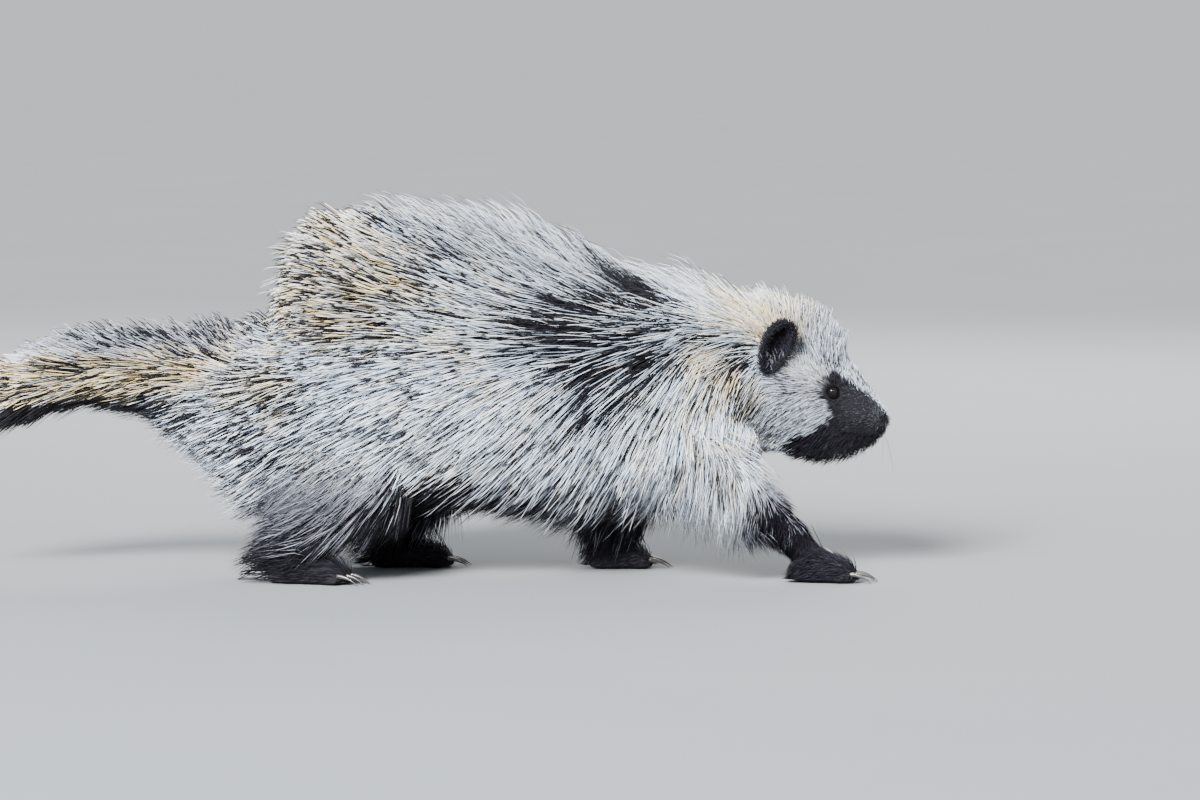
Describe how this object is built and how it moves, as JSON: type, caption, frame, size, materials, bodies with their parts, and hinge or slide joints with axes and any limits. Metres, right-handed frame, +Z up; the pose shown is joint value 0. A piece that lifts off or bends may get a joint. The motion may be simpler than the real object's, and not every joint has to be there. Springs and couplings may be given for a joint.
{
  "type": "north american porcupine model",
  "caption": "Life-size still model of a pale North American porcupine walking, head low, back arched, tail held out behind.",
  "frame": {"origin": "on the floor, under the middle of the model's box", "axes": "+X towards the nose, +Y towards the animal's left side, +Z up"},
  "size_m": [0.8929, 0.2556, 0.355],
  "materials": {
    "coat": "dense pale quills with dark tips",
    "dark_fur": "short dark fur",
    "eye": "wet, black",
    "claw": "horn"
  },
  "bodies": {
    "root": {"ear_left": "dark_fur", "ear_right": "dark_fur", "eye_left": "eye", "eye_right": "eye", "foot_fore_left": "dark_fur", "foot_fore_right": "dark_fur", "foot_hind_left": "dark_fur", "foot_hind_right": "dark_fur", "foreleg_left": "coat", "foreleg_right": "coat", "head": "coat", "hindleg_left": "coat", "hindleg_right": "coat", "neck": "coat", "rump": "coat", "tail_base": "coat", "tail_tip": "coat", "torso": "coat"}
  },
  "joints": []
}
